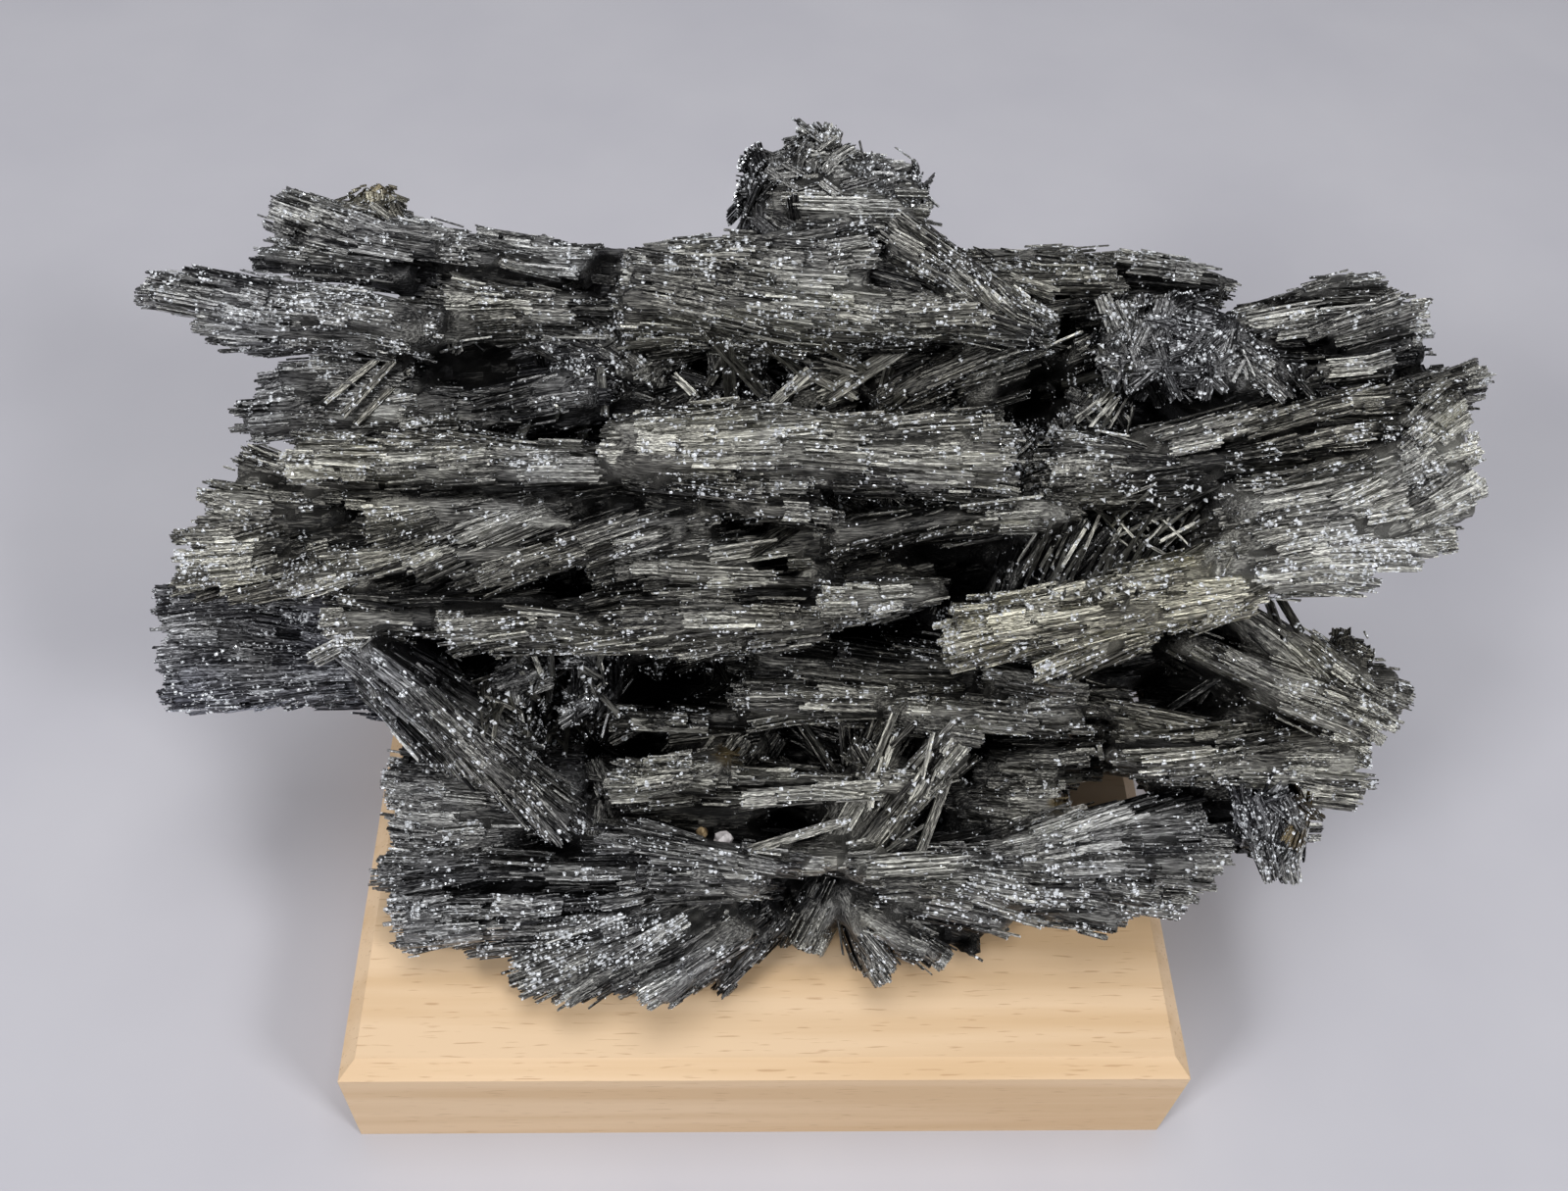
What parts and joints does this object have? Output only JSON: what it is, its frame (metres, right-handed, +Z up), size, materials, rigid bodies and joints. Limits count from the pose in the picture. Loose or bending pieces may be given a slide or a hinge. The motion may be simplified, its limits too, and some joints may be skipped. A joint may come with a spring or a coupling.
{
  "type": "zinkenite specimen",
  "caption": "Intergrown mass of steel-grey needle crystals in ragged fanned sprays, resting on a small chamfered wooden display block.",
  "frame": {"origin": "middle of the wooden block's underside", "axes": "+X along the specimen's and the block's long side, to the right when the display face is seen; -Y towards the viewer of the display face; +Z up"},
  "size_m": [0.1584, 0.0929, 0.0851],
  "materials": {
    "zinkenite": "metallic-lustred striated needles, steel grey tarnished olive and bronze",
    "planed_hardwood": "planed and sanded, unvarnished"
  },
  "bodies": {
    "root": {"zinkenite_cluster": "zinkenite", "wooden_block": "planed_hardwood"}
  },
  "joints": []
}
